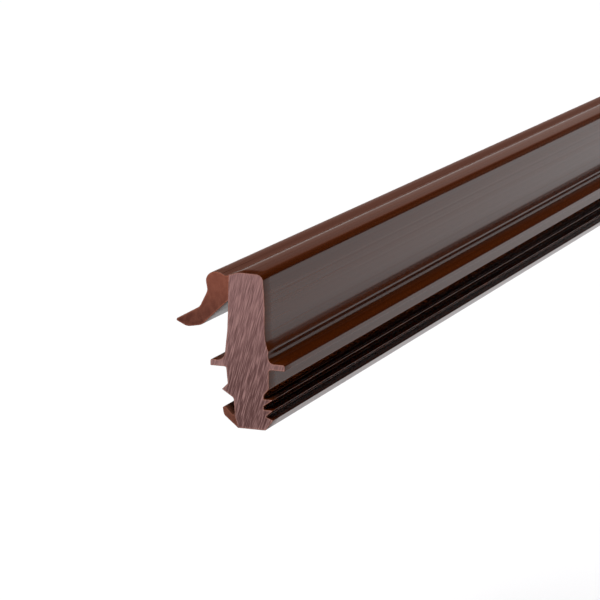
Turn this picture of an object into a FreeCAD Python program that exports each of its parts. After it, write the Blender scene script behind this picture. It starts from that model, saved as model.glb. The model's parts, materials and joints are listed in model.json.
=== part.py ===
"""Push-in door sealing strip: one co-extruded profile, cut to length.

A hard core carries a barbed foot, which is pushed into a narrow slot, and two stop flanges, which
rest on the surface beside the slot. A soft lip is welded to the upper left side of the core and a
soft heel fin to the lower left corner of the foot. Both soft parts bend at their roots.

X runs across the strip, Y along it and Z up. The origin is on the slot's centre plane, in the plane
on which the stop flanges rest, halfway along the strip. The lip and the heel fin are on the -X side.
Every piece is an outline in the XZ plane, extruded along Y. Lengths are in millimetres. Angles are in
degrees, and a direction is an angle up from +X.
"""
import FreeCAD, Part
import math
import os

# ---- driving dimensions ----
length = 200.0

# slot that the strip is made for, and how the foot fills it
slot_width = 6.0
stem_play = 0.1            # gap between the stem and each side of the slot
barb_bite = 0.5            # how far each barb stands past the side of the slot
foot_depth = 7.8           # from the seat plane to the flat bottom of the foot
right_core_gap = 0.8       # from the slot's right side to the foot between its barbs
left_core_gap = 1.1

# stop flanges
flange_seat = 2.05         # how far each flange reaches past the side of the slot
flange_thickness = 0.84
flange_edge_radius = 0.26
flange_underside_radius = 0.07
right_flange_fillet = 0.75
left_flange_fillet = 1.5

# body above the seat plane
body_height = 12.17
body_top_width = 4.66
body_waist_width = 5.2
body_waist_height = 4.8    # below this height the sides flare out towards the flanges
body_flare = 0.45          # how far each side flares out before its fillet
body_flare_radius = 8.0
body_shift = -0.12         # the body stands this far towards the lip
crown_drop = 0.38          # the top falls this far towards the lip
crown_radius = 2.5
shoulder_radius = 0.95

# stem under the flanges
stem_root_radius = 0.25
right_stem_run = 2.45      # right side at full width
right_stem_step = 0.85     # height of the slope from there in to the foot
stem_corner_radius = 0.35
left_stem_lean = 0.2       # the left side leans in by this much down to its barb

# barbs; each has its root at the foot or the stem
barb_tip_radius = 0.07
notch_radius = 0.12
right_barb_depth = 3.76    # from the seat plane to the flat top of the upper right barb
right_barb_pitch = 1.35
right_barb_rise = 0.92     # height of a barb's sloping underside
left_barb_root_depth = 2.15
left_barb_tip_depth = 2.95
left_barb_rise = 1.0
left_barb_lead_radius = 0.5

# toe, which is the lowest right barb and the flat bottom beside it
toe_root_gap = 0.54        # from the slot's right side to the root of the toe's sloping top
toe_top_drop = 0.36
toe_bottom_gap = 0.55      # from the slot's right side to the corner of the flat bottom
toe_radius = 0.35

# soft lip
lip_bond_height = 3.3      # height of the weld between the lip and the body
lip_groove_run = 0.4       # shallow groove between the body and the lip's head
lip_groove_drop = 0.17
lip_groove_radius = 0.3
lip_head_reach = 3.22      # from the body's side to the left of the rounded head
lip_head_drop = 0.12       # the head's top is this far below the body's
lip_head_radius = 1.4
lip_thickness = 2.1
lip_neck_extra = 0.83      # how much thicker than the blade the lip is under its head
lip_neck_drop = 2.6        # from the body's top to the narrowest place under the head
lip_knee_extra = 0.28      # how much thicker than the blade the lip is at its knee
lip_knee_direction = 97.0  # from the underside's bend to the knee above it
lip_knee_radius = 1.0
lip_slope = 43.5           # underside of the blade's first stretch, below horizontal
lip_first_run = 4.95       # from the body to the bend
lip_second_slope = 10.0    # underside of the second stretch, below horizontal
lip_second_run = 2.05      # from the bend to the start of the taper
lip_taper_rise = 25.0      # underside of the tapered tip, above horizontal
lip_taper_run = 1.65
lip_bend_radius = 1.5
lip_tip_thickness = 0.3
lip_tip_direction = 75.0

# soft heel fin
heel_height = 1.7          # height of the weld between the heel and the foot
heel_toe_inset = 0.6       # from the foot's left side in to the end of the flat bottom
heel_lean = 0.14           # the foot's left side leans in by this much down to the heel
heel_shelf_radius = 0.6
fin_thickness = 0.78
fin_slope = 39.0           # underside of the fin, above horizontal
fin_under_run = 2.5        # length of that underside
fin_bend_radius = 0.8
fin_tip_run = 0.95         # length of the upturned end
fin_tip_direction = 100.0
fin_tip_thickness = 0.42
fin_tip_cut = 35.0         # direction of the end's upper edge
fin_tip_radius = 0.13

# living hinges of the two soft parts
hinge_play = 0.05          # radial gap around a blade's round root
hinge_inset = 0.1          # from a blade's underside to that round root
lip_hinge_run = 1.85       # from the weld's lower end, along the blade's underside
lip_swing_in = 35.0        # towards the body
lip_swing_out = 12.0
fin_hinge_run = 1.95       # from the flat bottom, along the fin's underside
fin_swing_in = 25.0        # towards the foot
fin_swing_out = 12.0
swing_margin = 2.0         # extra angle left free beyond each limit


# ---- outline tools ----
def rounded_corner(before, point, after, radius):
    """Where an outline starts and ends its turn at a corner, and the arc between those two points.

    A radius of 0 keeps the corner sharp, with no arc. A radius is limited by the corner's two sides.
    """
    if radius == 0:
        return point, point, []
    to_before = before - point
    to_after = after - point
    half_angle = to_before.getAngle(to_after) / 2
    set_back = min(radius / math.tan(half_angle), 0.48 * min(to_before.Length, to_after.Length))
    to_before.normalize()
    to_after.normalize()
    start = point + to_before * set_back
    end = point + to_after * set_back
    arc_radius = set_back * math.tan(half_angle)
    inward = (to_before + to_after).normalize()
    middle = point + inward * (arc_radius / math.sin(half_angle) - arc_radius)
    return start, end, [Part.Arc(start, middle, end).toShape()]


def rounded_bar(corners):
    """Bar along the whole strip, from a closed run of (x, z, radius) corners."""
    points = [FreeCAD.Vector(x, -length / 2, z) for x, z, _ in corners]
    turns = []
    for i, (_, _, radius) in enumerate(corners):
        turns.append(rounded_corner(points[i - 1], points[i], points[(i + 1) % len(points)], radius))
    edges = []
    for i, (_, end, arc) in enumerate(turns):
        next_start = turns[(i + 1) % len(turns)][0]
        edges += arc + [Part.LineSegment(end, next_start).toShape()]
    return Part.Face(Part.Wire(edges)).extrude(FreeCAD.Vector(0, length, 0))


def polar(origin, direction, distance):
    """Point (x, z) at a distance from another, along a direction."""
    angle = math.radians(direction)
    return (origin[0] + distance * math.cos(angle), origin[1] + distance * math.sin(angle))


def round_bar(centre, radius):
    """Round bar along the whole strip, about an axis at (x, z)."""
    base = FreeCAD.Vector(centre[0], -length / 2, centre[1])
    return Part.makeCylinder(radius, length, base, FreeCAD.Vector(0, 1, 0))


def sector_bar(centre, start, end):
    """Everything near the strip between two directions from an axis, at most 180 degrees apart."""
    reach = 2 * (body_height + foot_depth)
    steps = 4
    rim = [polar(centre, start + (end - start) * step / steps, reach) for step in range(steps + 1)]
    return rounded_bar([(x, z, 0) for x, z in [centre] + rim])


def hinge_centre(start, direction, run, thickness):
    """Axis of a living hinge, inside a blade whose underside runs from start in a direction."""
    return polar(polar(start, direction, run), direction - 90, thickness / 2 + hinge_inset)


# ---- places that several pieces share ----
slot_side = slot_width / 2
stem_side = slot_side - stem_play
barb_tip = slot_side + barb_bite
flange_edge = slot_side + flange_seat
foot_bottom = -foot_depth
foot_left = -slot_side + left_core_gap
foot_right = slot_side - right_core_gap

body_left_top = body_shift - body_top_width / 2
body_right_top = body_shift + body_top_width / 2
body_left_waist = body_shift - body_waist_width / 2
body_right_waist = body_shift + body_waist_width / 2

# the lip is welded to the body's left side between these two points
lip_weld_top = (body_left_top, body_height - crown_drop)
lip_weld_end_height = lip_weld_top[1] - lip_bond_height
weld_share = lip_bond_height / (lip_weld_top[1] - body_waist_height)
lip_weld_end = (body_left_top + weld_share * (body_left_waist - body_left_top), lip_weld_end_height)

# the heel is welded to the foot's lower left corner between these two points
heel_weld_top = (foot_left + heel_lean, foot_bottom + heel_height)
heel_toe = (foot_left + heel_toe_inset, foot_bottom)

lip_direction = 180 + lip_slope
lip_hinge = hinge_centre(lip_weld_end, lip_direction, lip_hinge_run, lip_thickness)
fin_direction = 180 - fin_slope
fin_hinge = hinge_centre(heel_toe, fin_direction, fin_hinge_run, fin_thickness)


# ---- pieces ----
def rigid_core():
    """Hard core: rounded body, two stop flanges, stem, one left barb, two right barbs and the toe."""
    corners = [
        (lip_weld_top[0], lip_weld_top[1], 0),
        (body_shift - body_top_width / 4, body_height, crown_radius),
        (body_right_top, body_height, shoulder_radius),
        (body_right_waist, body_waist_height, body_flare_radius),
        (body_right_waist + body_flare, flange_thickness, right_flange_fillet),
        (flange_edge, flange_thickness, flange_edge_radius),
        (flange_edge, 0, flange_underside_radius),
        (stem_side, 0, stem_root_radius),
        (stem_side, -right_stem_run, stem_corner_radius),
        (foot_right, -right_stem_run - right_stem_step, stem_corner_radius),
    ]
    lower_roots = [foot_right, slot_side - toe_root_gap]
    for barb, lower_root in enumerate(lower_roots):
        barb_top = -right_barb_depth - barb * right_barb_pitch
        corners.append((foot_right, barb_top, notch_radius))
        corners.append((barb_tip, barb_top, barb_tip_radius))
        corners.append((lower_root, barb_top - right_barb_rise, notch_radius))
    toe_tip_height = barb_top - right_barb_rise - toe_top_drop
    corners += [
        (barb_tip, toe_tip_height, barb_tip_radius),
        (slot_side - toe_bottom_gap, foot_bottom, toe_radius),
        (heel_toe[0], heel_toe[1], 0),
        (heel_weld_top[0], heel_weld_top[1], 0),
        (foot_left, -left_barb_tip_depth - left_barb_rise, left_barb_lead_radius),
        (-barb_tip, -left_barb_tip_depth, barb_tip_radius),
        (-stem_side + left_stem_lean, -left_barb_root_depth, notch_radius),
        (-stem_side, 0, stem_root_radius),
        (-flange_edge, 0, flange_underside_radius),
        (-flange_edge, flange_thickness, flange_edge_radius),
        (body_left_waist - body_flare, flange_thickness, left_flange_fillet),
        (body_left_waist, body_waist_height, body_flare_radius),
        (lip_weld_end[0], lip_weld_end[1], 0),
    ]
    return rounded_bar(corners)


def whole_lip():
    """Soft lip in one piece: rounded head, neck, and a blade that bends outwards to a thin tip."""
    head_left = lip_weld_top[0] - lip_head_reach
    head_top = body_height - lip_head_drop
    bend = polar(lip_weld_end, lip_direction, lip_first_run)
    taper = polar(bend, 180 + lip_second_slope, lip_second_run)
    tip_low = polar(taper, 180 - lip_taper_rise, lip_taper_run)
    tip_high = polar(tip_low, lip_tip_direction, lip_tip_thickness)
    knee = polar(bend, lip_knee_direction, lip_thickness + lip_knee_extra)
    tip_radius = lip_tip_thickness / 2
    corners = [
        (lip_weld_top[0], lip_weld_top[1], 0),
        (lip_weld_top[0] - lip_groove_run, lip_weld_top[1] - lip_groove_drop, lip_groove_radius),
        (head_left + 1.35 * lip_head_radius, head_top, lip_head_radius),
        (head_left + 0.6 * lip_head_radius, head_top, lip_head_radius),
        (head_left, head_top - 0.6 * lip_head_radius, lip_head_radius),
        (lip_weld_top[0] - lip_thickness - lip_neck_extra, body_height - lip_neck_drop, lip_knee_radius),
        (knee[0], knee[1], lip_knee_radius),
        (tip_high[0], tip_high[1], tip_radius),
        (tip_low[0], tip_low[1], tip_radius),
        (taper[0], taper[1], lip_bend_radius),
        (bend[0], bend[1], lip_bend_radius),
        (lip_weld_end[0], lip_weld_end[1], 0),
    ]
    return rounded_bar(corners)


def whole_heel():
    """Soft heel in one piece: the foot's lower left corner and the thin fin that rises from it."""
    under_end = polar(heel_toe, fin_direction, fin_under_run)
    tip_out = polar(under_end, fin_tip_direction, fin_tip_run)
    tip_in = polar(tip_out, fin_tip_cut, fin_tip_thickness)
    slope = math.radians(fin_slope)
    shelf_run = (heel_height - fin_thickness * math.cos(slope)) / math.sin(slope)
    shelf_end = polar(polar(heel_toe, fin_direction, shelf_run), fin_direction - 90, fin_thickness)
    corners = [
        (heel_weld_top[0], heel_weld_top[1], 0),
        (shelf_end[0], shelf_end[1], heel_shelf_radius),
        (tip_in[0], tip_in[1], fin_tip_radius),
        (tip_out[0], tip_out[1], fin_tip_radius),
        (under_end[0], under_end[1], fin_bend_radius),
        (heel_toe[0], heel_toe[1], 0),
    ]
    return rounded_bar(corners)


def split_at_hinge(whole, centre, radius, direction, swing_left, swing_right):
    """Split a soft bar at a hinge: a blade with a round root, and the fixed root that holds it.

    direction points along the blade. swing_left and swing_right are how far the blade turns
    anticlockwise and clockwise, as seen looking along +Y.
    """
    ahead = sector_bar(centre, direction - 90, direction + 90)
    left_room = sector_bar(centre, direction + 90, direction + 90 + swing_left + swing_margin)
    right_room = sector_bar(centre, direction - 90 - swing_right - swing_margin, direction - 90)
    blade = whole.common(ahead).fuse(round_bar(centre, radius)).removeSplitter()
    room = ahead.fuse([left_room, right_room, round_bar(centre, radius + hinge_play)])
    return blade, whole.cut(room)


def write_piece(name, shape):
    """Write the largest solid of a shape as the piece; slivers that a cut leaves are dropped."""
    solid = max(shape.Solids, key=lambda each: each.Volume)
    if not solid.isValid():
        raise ValueError(name + " is not a valid solid")
    solid.exportStep("parts/" + name + ".step")
    print("%-12s %9.1f mm3, %d solids" % (name, solid.Volume, len(shape.Solids)))


lip_blade, lip_root = split_at_hinge(
    whole_lip(), lip_hinge, lip_thickness / 2, lip_direction, lip_swing_in, lip_swing_out
)
heel_fin, heel_root = split_at_hinge(
    whole_heel(), fin_hinge, fin_thickness / 2, fin_direction, fin_swing_out, fin_swing_in
)

os.makedirs("parts", exist_ok=True)
write_piece("rigid_core", rigid_core())
write_piece("lip_root", lip_root)
write_piece("lip_blade", lip_blade)
write_piece("heel_root", heel_root)
write_piece("heel_fin", heel_fin)
print("lip hinge at x %.4f, z %.4f" % lip_hinge)
print("fin hinge at x %.4f, z %.4f" % fin_hinge)
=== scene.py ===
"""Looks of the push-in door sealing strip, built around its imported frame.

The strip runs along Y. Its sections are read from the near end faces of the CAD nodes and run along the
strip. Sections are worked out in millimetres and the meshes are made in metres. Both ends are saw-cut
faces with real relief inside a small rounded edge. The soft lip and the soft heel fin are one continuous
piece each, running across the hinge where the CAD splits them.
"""
import math

import bpy
import numpy as np
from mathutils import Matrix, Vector, geometry, noise
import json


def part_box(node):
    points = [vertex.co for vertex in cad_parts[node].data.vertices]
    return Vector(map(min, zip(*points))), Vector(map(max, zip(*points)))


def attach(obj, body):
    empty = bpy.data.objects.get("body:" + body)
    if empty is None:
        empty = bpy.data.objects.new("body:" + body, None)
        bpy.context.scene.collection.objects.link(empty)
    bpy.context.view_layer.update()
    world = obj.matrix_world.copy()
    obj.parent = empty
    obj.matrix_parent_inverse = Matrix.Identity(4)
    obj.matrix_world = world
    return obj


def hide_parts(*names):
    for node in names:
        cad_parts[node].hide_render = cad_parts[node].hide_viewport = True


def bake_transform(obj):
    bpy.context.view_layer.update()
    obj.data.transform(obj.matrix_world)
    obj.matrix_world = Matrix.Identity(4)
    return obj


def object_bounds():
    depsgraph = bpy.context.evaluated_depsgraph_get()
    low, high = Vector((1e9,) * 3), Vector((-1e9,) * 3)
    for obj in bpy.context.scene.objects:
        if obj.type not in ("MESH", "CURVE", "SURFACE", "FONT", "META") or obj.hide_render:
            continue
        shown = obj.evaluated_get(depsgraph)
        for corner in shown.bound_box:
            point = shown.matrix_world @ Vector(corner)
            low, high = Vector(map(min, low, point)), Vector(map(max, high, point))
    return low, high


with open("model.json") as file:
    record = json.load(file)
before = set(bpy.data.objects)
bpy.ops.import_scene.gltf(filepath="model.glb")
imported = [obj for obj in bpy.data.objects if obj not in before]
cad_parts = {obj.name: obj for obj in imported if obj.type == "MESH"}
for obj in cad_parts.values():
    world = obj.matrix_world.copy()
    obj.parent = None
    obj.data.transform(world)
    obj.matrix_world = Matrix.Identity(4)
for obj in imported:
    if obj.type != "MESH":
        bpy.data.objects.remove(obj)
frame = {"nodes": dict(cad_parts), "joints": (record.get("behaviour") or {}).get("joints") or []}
cad_low, cad_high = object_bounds()

MM = 0.001
FRONT = cad_low.y / MM
BACK = cad_high.y / MM
FOOT = cad_low.z / MM
TOP = cad_high.z / MM

# Lengths are in millimetres, and heights are above the flanges' seat plane.
STATION = 2.5              # distance between the rings of a piece along the strip
STEP = 0.1                 # longest stretch of an outline with no point on it
EDGE = 0.038               # radius of the edge round a saw cut
EDGE_ANGLES = (0, 30, 60, 90)
SHARP_ANGLE = math.radians(60)    # faces that meet at more than this show a crisp edge

SAW_LEAN = math.radians(75)    # direction of the saw marks, from +X towards +Z
RIM_GAP = 0.03             # a cut face has no inner point closer to its outline than this
RIM_FADE = 0.14            # its relief grows to full depth over this distance from the outline
BURR_FADE = (0.02, 0.16)   # its brighter free edge fades out between these distances
WELD_FADE = (0.02, 0.2)    # relief and rounded edges grow between these distances from a weld

WAVE_DEPTH = 0.011         # slow waviness of the extruded faces
DIE_DEPTH = 0.004          # fine lines that the die leaves along the strip
DIE_PITCH = 0.33

# Lines along the body's right side: height, half width and depth. The last one is a low ridge.
DIE_LINES = (
    (10.7, 0.12, 0.010), (9.3, 0.13, 0.020), (8.2, 0.11, 0.016), (7.1, 0.10, 0.008),
    (4.7, 0.10, 0.008), (2.32, 0.34, -0.09))
SIDE_FOOT = 1.8            # height where the body's right side starts, above the flange's fillet
SIDE_FACING = 0.9          # least sideways part of the outward direction on that side

HOLLOW_START = 2.5         # the body's right side is hollowed a little between these heights
HOLLOW_MIDDLE = 3.8
HOLLOW_END = 8.0
HOLLOW_DEPTH = 0.15

CROWN_START = -0.9         # from here towards the right shoulder, the body's top falls away a little
CROWN_RUN = 2.5
CROWN_DEPTH = 0.09
CROWN_FADE = (9.0, 11.8)   # heights over which that fall fades out down the body's side

LIP_REACH = 1.13           # the CAD's hinge faces lie within this distance of the lip's hinge axis
HEEL_REACH = 0.455

FLOOR_DROP = 100           # the floor lies this far below the foot
FLOOR_REACH = 12000        # from the middle of the floor to its edges

AZIMUTH = math.radians(21.535)    # where the camera stands, round from the near end to the right
ELEVATION = math.radians(11.69)
DISTANCE = 345.63
AIM = Vector((4.92, FRONT + 5.47, FOOT + 15.87))
LENS = 165


# ---- sections, read from the CAD nodes' near ends ----
def end_outline(node):
    """Corners (x, z) of a node's near end face, in order round it, anticlockwise."""
    mesh = frame["nodes"][node].data
    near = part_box(node)[0].y
    spot = {}
    count = {}
    for polygon in mesh.polygons:
        corners = [mesh.vertices[v].co for v in polygon.vertices]
        if any(abs(c.y - near) > 1e-6 for c in corners):
            continue
        keys = [(round(c.x, 7), round(c.z, 7)) for c in corners]
        for key, corner in zip(keys, corners):
            spot[key] = (corner.x / MM, corner.z / MM)
        for one, two in zip(keys, keys[1:] + keys[:1]):
            pair = frozenset((one, two))
            count[pair] = count.get(pair, 0) + 1
    links = {}
    for pair, uses in count.items():
        if uses == 1 and len(pair) == 2:
            one, two = sorted(pair)
            links.setdefault(one, []).append(two)
            links.setdefault(two, []).append(one)
    start = min(links)
    loop = [start]
    before, here = None, start
    while True:
        onward = [k for k in sorted(links[here]) if k != before]
        before, here = here, onward[0]
        if here == start:
            break
        loop.append(here)
    points = np.array([spot[k] for k in loop])
    return points if signed_area(points) > 0 else points[::-1]


def signed_area(points):
    after = np.roll(points, -1, axis=0)
    return float((points[:, 0] * after[:, 1] - after[:, 0] * points[:, 1]).sum() / 2)


def joint_axis(name):
    """(x, z) of a hinge that runs along the strip."""
    joint = next(j for j in frame["joints"] if j["name"] == name)
    return np.array((joint["pos_m"][0], joint["pos_m"][2])) / MM


def open_chain(points, axis, reach):
    """The stretch of a closed outline that lies further than reach from an axis, in order."""
    keep = np.hypot(*(points - axis).T) > reach
    first = next(i for i in range(len(points)) if keep[i] and not keep[i - 1])
    return np.roll(points, -first, axis=0)[np.roll(keep, -first)]


def joined_outline(root, blade, joint, reach):
    """One outline for a soft part that the CAD splits at a hinge, without the hinge's own faces."""
    axis = joint_axis(joint)
    ends = [open_chain(end_outline(node), axis, reach) for node in (root, blade)]
    return np.vstack(ends)


def filled(points, step):
    """The outline with points added so that no stretch is longer than step."""
    out = []
    for here, after in zip(points, np.roll(points, -1, axis=0)):
        parts = max(1, math.ceil(float(np.hypot(*(after - here))) / step))
        out += [here + (after - here) * k / parts for k in range(parts)]
    return np.array(out)


def outward(points):
    """Outward directions at the corners of an anticlockwise outline, longer at sharper corners."""
    edge = np.roll(points, -1, axis=0) - points
    edge /= np.hypot(*edge.T)[:, None]
    side = np.stack((edge[:, 1], -edge[:, 0]), axis=1)
    both = side + np.roll(side, 1, axis=0)
    both /= np.maximum(np.hypot(*both.T), 1e-9)[:, None]
    stretch = 1 / np.maximum((both * side).sum(1), 0.75)
    return both * stretch[:, None]


def distance_to(points, loop):
    """Shortest distance from each point to a closed outline."""
    along = np.roll(loop, -1, axis=0) - loop
    square = np.maximum((along ** 2).sum(1), 1e-12)
    out = []
    for start in range(0, len(points), 500):
        rel = points[start:start + 500, None, :] - loop[None]
        part = np.clip((rel * along[None]).sum(2) / square[None], 0, 1)
        gap = rel - part[:, :, None] * along[None]
        out.append(np.sqrt((gap ** 2).sum(2)).min(1))
    return np.concatenate(out)


def smooth(value, low, high):
    t = np.clip((value - low) / (high - low), 0, 1)
    return t * t * (3 - 2 * t)


# ---- relief ----
def saw_marks(x, z, seed):
    """Depth of the saw marks in the rigid plastic: fine ridges that lean over, never quite straight."""
    across = x * math.sin(SAW_LEAN) - z * math.cos(SAW_LEAN)
    along = x * math.cos(SAW_LEAN) + z * math.sin(SAW_LEAN)
    across += 0.16 * noise.noise(Vector((across / 2.5, along / 3.0, seed + 3.1)))
    fine = noise.noise(Vector((across / 0.085, along / 2.2, seed)))
    short = noise.noise(Vector((across / 0.15, along / 0.7, seed + 11.7)))
    broad = noise.noise(Vector((across / 0.6, along / 5.0, seed + 23.5)))
    return 0.012 + 0.014 * fine + 0.009 * short + 0.008 * broad


def soft_marks(x, z, seed):
    """Depth of the faint dimples and drag marks in the cut soft plastic."""
    dimple = noise.noise(Vector((x / 0.5, z / 0.5, seed)))
    drag = noise.noise(Vector((x / 0.22, z / 0.7, seed + 5.3)))
    return 0.005 + 0.006 * dimple + 0.003 * drag


# ---- meshes ----
def inner_points(loop, lean, across_step, along_step):
    """Points inside an outline, on lines that lean over, every second one shifted by half a step."""
    axes = np.array(((math.sin(lean), -math.cos(lean)), (math.cos(lean), math.sin(lean))))
    turned = loop @ axes.T
    after = np.roll(turned, -1, axis=0)
    out = []
    low, high = turned[:, 0].min(), turned[:, 0].max()
    for row in range(1, math.ceil((high - low) / across_step)):
        at = low + row * across_step
        cross = (turned[:, 0] > at) != (after[:, 0] > at)
        one, two = turned[cross], after[cross]
        part = (at - one[:, 0]) / (two[:, 0] - one[:, 0])
        stops = np.sort(one[:, 1] + part * (two[:, 1] - one[:, 1]))
        for enter, leave in zip(stops[::2], stops[1::2]):
            shift = 0.5 * (row % 2)
            first = math.ceil(enter / along_step - shift)
            last = math.floor(leave / along_step - shift)
            out += [(at, (k + shift) * along_step) for k in range(first, last + 1)]
    return np.array(out) @ axes


def long_relief(loop, out, free, seed):
    """How far each outline point is set in from the CAD's surface, all along the strip."""
    run = np.cumsum(np.hypot(*(loop - np.roll(loop, 1, axis=0)).T))
    fine = np.array([noise.noise(Vector((s / DIE_PITCH, seed, 2.5))) for s in run])
    depth = DIE_DEPTH * np.maximum(0.5 + fine, 0) * free
    across, up = loop.T
    right_side = (out[:, 0] > SIDE_FACING) & (up > SIDE_FOOT)
    for level, half_width, line_depth in DIE_LINES:
        depth += right_side * line_depth * np.exp(-((up - level) / half_width) ** 2)
    hollow = smooth(up, HOLLOW_START, HOLLOW_MIDDLE) * (1 - smooth(up, HOLLOW_MIDDLE, HOLLOW_END))
    depth += right_side * HOLLOW_DEPTH * hollow
    crown = np.clip((across - CROWN_START) / CROWN_RUN, 0, 1) ** 2
    return depth + CROWN_DEPTH * crown * smooth(up, *CROWN_FADE)


def stations():
    """(y, inset) of every ring along the strip, with the rounded edge at each end."""
    edge = [(EDGE * (1 - math.cos(a)), EDGE * (1 - math.sin(a))) for a in np.radians(EDGE_ANGLES)]
    count = math.ceil((BACK - FRONT) / STATION)
    rings = [(FRONT + run_in, inset) for run_in, inset in edge]
    rings += [(FRONT + (BACK - FRONT) * k / count, 0) for k in range(1, count)]
    return rings + [(BACK - run_in, inset) for run_in, inset in reversed(edge)]


def cut_face(rim, loop, free, lean, grid):
    """Inner points of a cut face, its triangles, and each inner point's share of relief and of free edge.

    A triangle's corners count round the rim first and then through the inner points.
    """
    inside = inner_points(rim, lean, *grid)
    clear = distance_to(inside, rim)
    inside, clear = inside[clear > RIM_GAP], clear[clear > RIM_GAP]
    points = [Vector(p) for p in np.vstack((rim, inside))]
    rim_edges = [(i, (i + 1) % len(rim)) for i in range(len(rim))]
    _, _, found, source, _, _ = geometry.delaunay_2d_cdt(points, rim_edges, [], 1, 1e-7)
    triangles = [[source[v][0] for v in triangle] for triangle in found]
    open_clear = distance_to(inside, loop[free > 0.5])
    free_edge = 1 - smooth(np.maximum(clear, open_clear - 0.1), *BURR_FADE)
    return inside, triangles, smooth(clear, 0.0, RIM_FADE), free_edge


def strip_mesh(name, vertices, faces, sides, near_edge, materials):
    """A smooth mesh whose first faces, as many as sides, take the first material and the rest the second."""
    mesh = bpy.data.meshes.new(name)
    mesh.from_pydata(vertices, [], faces)
    mesh.polygons.foreach_set("material_index", [0] * sides + [1] * (len(faces) - sides))
    for material in materials:
        mesh.materials.append(material)
    mesh.attributes.new("near_edge", "FLOAT", "POINT").data.foreach_set("value", near_edge)
    mesh.shade_smooth()
    mesh.set_sharp_from_angle(angle=SHARP_ANGLE)
    return mesh


def strip_piece(name, outline, neighbours, marks, lean, grid, seed, materials):
    """A length of profile: long faces, a small rounded edge at each end, and two cut faces with relief.

    Where the outline is welded to a neighbour it keeps its exact place, with no rounded edge.
    marks gives the depth of the relief on the cuts, and lean and grid place the points that carry it.
    """
    loop = filled(outline, STEP)
    out = outward(loop)
    free = smooth(np.min([distance_to(loop, line) for line in neighbours], axis=0), *WELD_FADE)
    set_in = long_relief(loop, out, free, seed)
    rings = stations()
    vertices = []
    outlines = []
    for y, inset in rings:
        wave = [noise.noise(Vector((x / 5, y / 26, z / 5 + seed))) for x, z in loop]
        depth = set_in + WAVE_DEPTH * (0.5 + 0.5 * np.array(wave)) * free + inset * free
        ring = loop - out * depth[:, None]
        vertices += [(x * MM, y * MM, z * MM) for x, z in ring]
        outlines.append(ring)
    size = len(loop)
    faces = []
    for k in range(len(rings) - 1):
        for i in range(size):
            j = (i + 1) % size
            faces.append((k * size + i, (k + 1) * size + i, (k + 1) * size + j, k * size + j))
    sides = len(faces)
    near_edge = [0.0] * len(vertices)
    for first, rim, facing, at in (
            (0, outlines[0], 1, FRONT), ((len(rings) - 1) * size, outlines[-1], -1, BACK)):
        inside, triangles, relief, free_edge = cut_face(rim, loop, free, lean, grid)
        near_edge[first:first + size] = list(free)
        near_edge += list(free_edge)
        base = len(vertices) - size
        for (x, z), share in zip(inside, relief):
            depth = max(0.0, marks(x, z, seed + facing)) * share
            vertices.append((x * MM, (at + facing * depth) * MM, z * MM))
        for triangle in triangles:
            corners = [v + (first if v < size else base) for v in triangle]
            faces.append(corners if facing > 0 else corners[::-1])
    mesh = strip_mesh(name, vertices, faces, sides, near_edge, materials)
    piece = bpy.data.objects.new(name, mesh)
    bpy.context.scene.collection.objects.link(piece)
    return piece


# ---- materials ----
def blank_material(name):
    material = bpy.data.materials.new(name)
    material.use_nodes = True
    tree = material.node_tree
    tree.nodes.clear()
    output = tree.nodes.new("ShaderNodeOutputMaterial")
    shader = tree.nodes.new("ShaderNodeBsdfPrincipled")
    tree.links.new(shader.outputs["BSDF"], output.inputs["Surface"])
    return material, tree, shader


def stretched_noise(tree, scale, stretch, turn=0.0, detail=3.0):
    """Noise in the object's own coordinates, drawn out along one direction.

    scale is in features per metre.
    """
    place = tree.nodes.new("ShaderNodeTexCoord")
    mapping = tree.nodes.new("ShaderNodeMapping")
    mapping.vector_type = "TEXTURE"
    mapping.inputs["Rotation"].default_value = (0, turn, 0)
    mapping.inputs["Scale"].default_value = stretch
    tree.links.new(place.outputs["Object"], mapping.inputs["Vector"])
    texture = tree.nodes.new("ShaderNodeTexNoise")
    texture.inputs["Scale"].default_value = scale
    texture.inputs["Detail"].default_value = detail
    texture.inputs["Roughness"].default_value = 0.55
    tree.links.new(mapping.outputs["Vector"], texture.inputs["Vector"])
    return texture.outputs["Fac"]


def remap(tree, value, low, high, to_low, to_high):
    node = tree.nodes.new("ShaderNodeMapRange")
    node.interpolation_type = "SMOOTHSTEP"
    for name, number in (("From Min", low), ("From Max", high), ("To Min", to_low), ("To Max", to_high)):
        node.inputs[name].default_value = number
    tree.links.new(value, node.inputs["Value"])
    return node.outputs["Result"]


def blended(tree, factor, one, two):
    """Colour between one and two, each a colour or a socket."""
    node = tree.nodes.new("ShaderNodeMix")
    node.data_type = "RGBA"
    tree.links.new(factor, node.inputs["Factor"])
    inputs = [s for s in node.inputs if s.type == "RGBA"]
    for socket, colour in zip(inputs, (one, two)):
        if isinstance(colour, tuple):
            socket.default_value = (*colour, 1)
        else:
            tree.links.new(colour, socket)
    return next(s for s in node.outputs if s.type == "RGBA")


def height(tree):
    """The object's own height coordinate, in metres."""
    place = tree.nodes.new("ShaderNodeTexCoord")
    parts = tree.nodes.new("ShaderNodeSeparateXYZ")
    tree.links.new(place.outputs["Object"], parts.inputs["Vector"])
    return parts.outputs["Z"]


def bumped(tree, shader, heights):
    """Bumps on the shader from (height socket, depth in metres) pairs."""
    before = None
    for value, depth in heights:
        bump = tree.nodes.new("ShaderNodeBump")
        bump.inputs["Strength"].default_value = 1.0
        bump.inputs["Distance"].default_value = depth
        tree.links.new(value, bump.inputs["Height"])
        if before:
            tree.links.new(before, bump.inputs["Normal"])
        before = bump.outputs["Normal"]
    tree.links.new(before, shader.inputs["Normal"])


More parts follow.
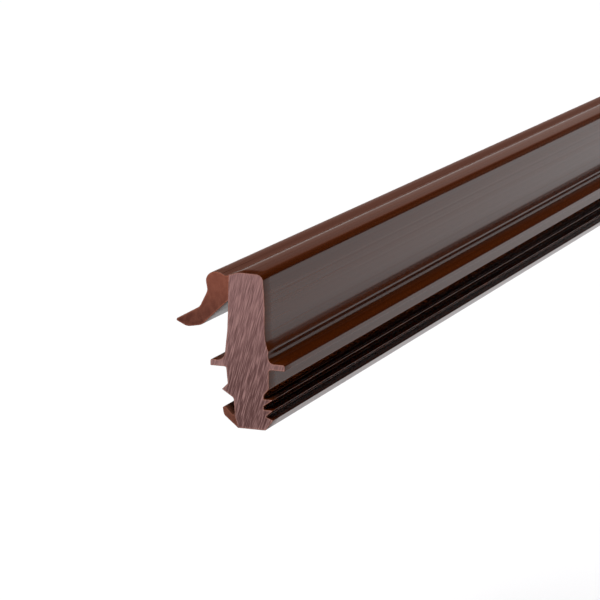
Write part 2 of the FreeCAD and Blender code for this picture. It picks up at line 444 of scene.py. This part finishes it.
def extruded_plastic(name, dark, light, rough, specular, bump):
    """Long faces: fine lines along the strip in the gloss and the colour, and a slow ripple."""
    material, tree, shader = blank_material(name)
    lines = stretched_noise(tree, 1100, (1, 300, 1), detail=2)
    colour = blended(tree, remap(tree, lines, 0.3, 0.7, 0, 1), dark, light)
    tree.links.new(colour, shader.inputs["Base Color"])
    tree.links.new(remap(tree, lines, 0.3, 0.7, *rough), shader.inputs["Roughness"])
    shader.inputs["Specular IOR Level"].default_value = specular
    ripple = stretched_noise(tree, 260, (1, 60, 1), detail=1)
    bumped(tree, shader, ((lines, bump), (ripple, 4 * bump)))
    return material


def rim(tree):
    """1 at the free edge of a cut face, falling to 0 a little way in."""
    node = tree.nodes.new("ShaderNodeAttribute")
    node.attribute_name = "near_edge"
    return node.outputs["Fac"]


def both(tree, one, two):
    """The product of two masks."""
    node = tree.nodes.new("ShaderNodeMath")
    node.operation = "MULTIPLY"
    tree.links.new(one, node.inputs[0])
    tree.links.new(two, node.inputs[1])
    return node.outputs["Value"]


def sideways(tree):
    """Distance from the strip's middle plane, in metres."""
    place = tree.nodes.new("ShaderNodeTexCoord")
    parts = tree.nodes.new("ShaderNodeSeparateXYZ")
    size = tree.nodes.new("ShaderNodeMath")
    size.operation = "ABSOLUTE"
    tree.links.new(place.outputs["Object"], parts.inputs["Vector"])
    tree.links.new(parts.outputs["X"], size.inputs[0])
    return size.outputs["Value"]


def sawn_plastic(name, low, high, pale, dark, burr, bump):
    """Cut rigid plastic: leaning scratches, pale and dark, over painted light that makes the face lighter
    upwards.

    The thin flanges and barbs are whitened by the saw, and so is the free edge.
    """
    material, tree, shader = blank_material(name)
    turn = math.pi / 2 - SAW_LEAN
    streaks = stretched_noise(tree, 4800, (1, 1, 13), turn, detail=2)
    threads = stretched_noise(tree, 9000, (1, 1, 20), turn, detail=1)
    bands = stretched_noise(tree, 900, (1, 1, 4), turn, detail=2)
    specks = stretched_noise(tree, 9000, (1, 1, 1), detail=2)
    up = height(tree)
    # painted light: the cut face goes from the low colour at its foot to the high colour at its top, painted
    # shade below and painted light above
    tone = blended(tree, remap(tree, up, (FOOT + 2) * MM, (TOP + 1) * MM, 0, 1), low, high)
    outer = remap(tree, sideways(tree), 2.7 * MM, 3.6 * MM, 0, 0.45)
    thin = both(tree, outer, remap(tree, up, 0.8 * MM, 2.2 * MM, 1, 0))
    tone = blended(tree, thin, tone, pale)
    tone = blended(tree, remap(tree, bands, 0.35, 0.65, 0.22, 0), tone, dark)
    tone = blended(tree, remap(tree, streaks, 0.30, 0.52, 0.45, 0), tone, dark)
    tone = blended(tree, remap(tree, streaks, 0.50, 0.72, 0, 0.5), tone, pale)
    tone = blended(tree, remap(tree, threads, 0.34, 0.48, 0.4, 0), tone, dark)
    tone = blended(tree, remap(tree, threads, 0.50, 0.66, 0, 0.65), tone, pale)
    edge = both(tree, rim(tree), remap(tree, specks, 0.35, 0.6, 0.25, 0.8))
    tone = blended(tree, edge, tone, burr)
    tree.links.new(tone, shader.inputs["Base Color"])
    tree.links.new(remap(tree, specks, 0.3, 0.7, 0.55, 0.8), shader.inputs["Roughness"])
    shader.inputs["Specular IOR Level"].default_value = 0.2
    bumped(tree, shader, ((streaks, bump), (specks, bump / 3)))
    return material


def cut_rubber(name, low, high, painted_light_heights, burr, bump):
    """Cut soft plastic: a satin face, a little mottled, with a brighter free edge, and painted light that
    makes it lighter upwards.
    """
    material, tree, shader = blank_material(name)
    mottle = stretched_noise(tree, 1500, (1, 1, 1.6), detail=3)
    specks = stretched_noise(tree, 7000, (1, 1, 1), detail=2)
    # painted light: the face goes from the low colour to the high colour upwards, painted shade below and
    # painted light above
    tone = blended(tree, remap(tree, height(tree), *painted_light_heights, 0, 1), low, high)
    tone = blended(tree, remap(tree, mottle, 0.35, 0.7, 0, 0.16), tone, burr)
    edge = both(tree, rim(tree), remap(tree, specks, 0.35, 0.6, 0.1, 0.7))
    tone = blended(tree, edge, tone, burr)
    tree.links.new(tone, shader.inputs["Base Color"])
    tree.links.new(remap(tree, specks, 0.3, 0.7, 0.5, 0.7), shader.inputs["Roughness"])
    shader.inputs["Specular IOR Level"].default_value = 0.2
    bumped(tree, shader, ((mottle, bump), (specks, bump / 4)))
    return material


rigid_skin = extruded_plastic(
    "rigid_skin", dark=(0.046, 0.008, 0.0008), light=(0.068, 0.014, 0.002), rough=(0.14, 0.19),
    specular=0.095, bump=4e-6)
# low and high are painted shade and painted light: the cut face's colour at its foot and at its top
rigid_cut = sawn_plastic(
    "rigid_cut", low=(0.120, 0.054, 0.050), high=(0.285, 0.150, 0.144), pale=(0.38, 0.215, 0.20),
    dark=(0.06, 0.02, 0.019), burr=(0.40, 0.19, 0.145), bump=8e-6)
soft_skin = extruded_plastic(
    "soft_skin", dark=(0.082, 0.027, 0.016), light=(0.116, 0.044, 0.028), rough=(0.26, 0.36),
    specular=0.24, bump=4e-6)
# low and high are painted shade and painted light on the lip's cut face, over the heights given
soft_cut = cut_rubber(
    "soft_cut", low=(0.080, 0.018, 0.009), high=(0.180, 0.050, 0.029), painted_light_heights=(5.2 * MM, 11.2 * MM),
    burr=(0.40, 0.14, 0.085), bump=8e-6)
# the heel's cut face also gets painted shade at its foot and painted light higher up
heel_cut = cut_rubber(
    "heel_cut", low=(0.095, 0.027, 0.016), high=(0.120, 0.036, 0.022), painted_light_heights=(-7.0 * MM, -5.2 * MM),
    burr=(0.32, 0.11, 0.06), bump=8e-6)


core_line = end_outline("rigid_core")
lip_line = joined_outline("lip_root", "lip_blade", "lip_flex", LIP_REACH)
heel_line = joined_outline("heel_root", "heel_fin", "heel_fin_flex", HEEL_REACH)

core = strip_piece(
    "core_profile", core_line, neighbours=(lip_line, heel_line), marks=saw_marks, lean=SAW_LEAN,
    grid=(0.042, 0.3), seed=4.2, materials=(rigid_skin, rigid_cut))
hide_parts("rigid_core")
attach(core, "profile")

lip = strip_piece(
    "sealing_lip", lip_line, neighbours=(core_line,), marks=soft_marks, lean=0.0,
    grid=(0.12, 0.12), seed=8.6, materials=(soft_skin, soft_cut))
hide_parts("lip_root", "lip_blade")
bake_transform(lip)

heel = strip_piece(
    "heel_seal", heel_line, neighbours=(core_line,), marks=soft_marks, lean=0.0,
    grid=(0.1, 0.1), seed=13.4, materials=(soft_skin, heel_cut))
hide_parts("heel_root", "heel_fin")
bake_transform(heel)

# ---- floor, light and camera ----
scene = bpy.context.scene
scene.view_settings.view_transform = "Standard"

floor_mesh = bpy.data.meshes.new("floor")
corners = [
    (x * FLOOR_REACH * MM, y * FLOOR_REACH * MM, (FOOT - FLOOR_DROP) * MM)
    for x, y in ((-1, -1), (1, -1), (1, 1), (-1, 1))]
floor_mesh.from_pydata(corners, [], [(0, 1, 2, 3)])
floor = bpy.data.objects.new("floor", floor_mesh)
scene.collection.objects.link(floor)
paper, _, paper_shader = blank_material("paper")
paper_shader.inputs["Base Color"].default_value = (0.9, 0.9, 0.91, 1)
paper_shader.inputs["Roughness"].default_value = 0.9
paper_shader.inputs["Specular IOR Level"].default_value = 0.0
floor_mesh.materials.append(paper)

world = bpy.data.worlds.new("studio")
scene.world = world
world.use_nodes = True
tree = world.node_tree
tree.nodes.clear()
place = tree.nodes.new("ShaderNodeTexCoord")
parts = tree.nodes.new("ShaderNodeSeparateXYZ")
ramp = tree.nodes.new("ShaderNodeValToRGB")
background = tree.nodes.new("ShaderNodeBackground")
output = tree.nodes.new("ShaderNodeOutputWorld")
tree.links.new(place.outputs["Generated"], parts.inputs["Vector"])
side = tree.nodes.new("ShaderNodeMapRange")
for socket, number in (("From Min", 0.12), ("From Max", 0.3), ("To Min", 1), ("To Max", 0.04)):
    side.inputs[socket].default_value = number
tree.links.new(parts.outputs["Z"], ramp.inputs["Fac"])
tree.links.new(parts.outputs["X"], side.inputs["Value"])
tree.links.new(ramp.outputs["Color"], background.inputs["Color"])
tree.links.new(side.outputs["Result"], background.inputs["Strength"])
tree.links.new(background.outputs["Background"], output.inputs["Surface"])
stops = (
    (0.0, (0.8, 0.78, 0.78)), (0.06, (0.6, 0.54, 0.52)), (0.14, (0.42, 0.29, 0.25)),
    (0.24, (0.22, 0.12, 0.10)), (0.34, (0.0, 0.0, 0.0)), (0.8, (0.2, 0.2, 0.2)))
while len(ramp.color_ramp.elements) < len(stops):
    ramp.color_ramp.elements.new(0.5)
for element, (position, colour) in zip(ramp.color_ramp.elements, stops):
    element.position = position
    element.color = (*colour, 1)


def sun(name, towards, strength, spread):
    """A soft distant light. towards points from the object to the light, and spread is in degrees."""
    lamp = bpy.data.lights.new(name, "SUN")
    lamp.energy = strength
    lamp.angle = math.radians(spread)
    lamp_object = bpy.data.objects.new(name, lamp)
    lamp_object.rotation_euler = Vector(towards).to_track_quat("Z", "Y").to_euler()
    scene.collection.objects.link(lamp_object)


sun("overhead", (-0.04, -0.36, 0.93), 3.5, 48)

toward_camera = Vector((
    math.sin(AZIMUTH) * math.cos(ELEVATION), -math.cos(AZIMUTH) * math.cos(ELEVATION),
    math.sin(ELEVATION)))
camera_data = bpy.data.cameras.new("camera")
camera_data.lens = LENS
camera_data.sensor_width = 36
camera_data.clip_end = 100
camera = bpy.data.objects.new("camera", camera_data)
camera.location = (AIM + DISTANCE * toward_camera) * MM
camera.rotation_euler = toward_camera.to_track_quat("Z", "Y").to_euler()
scene.collection.objects.link(camera)
scene.camera = camera
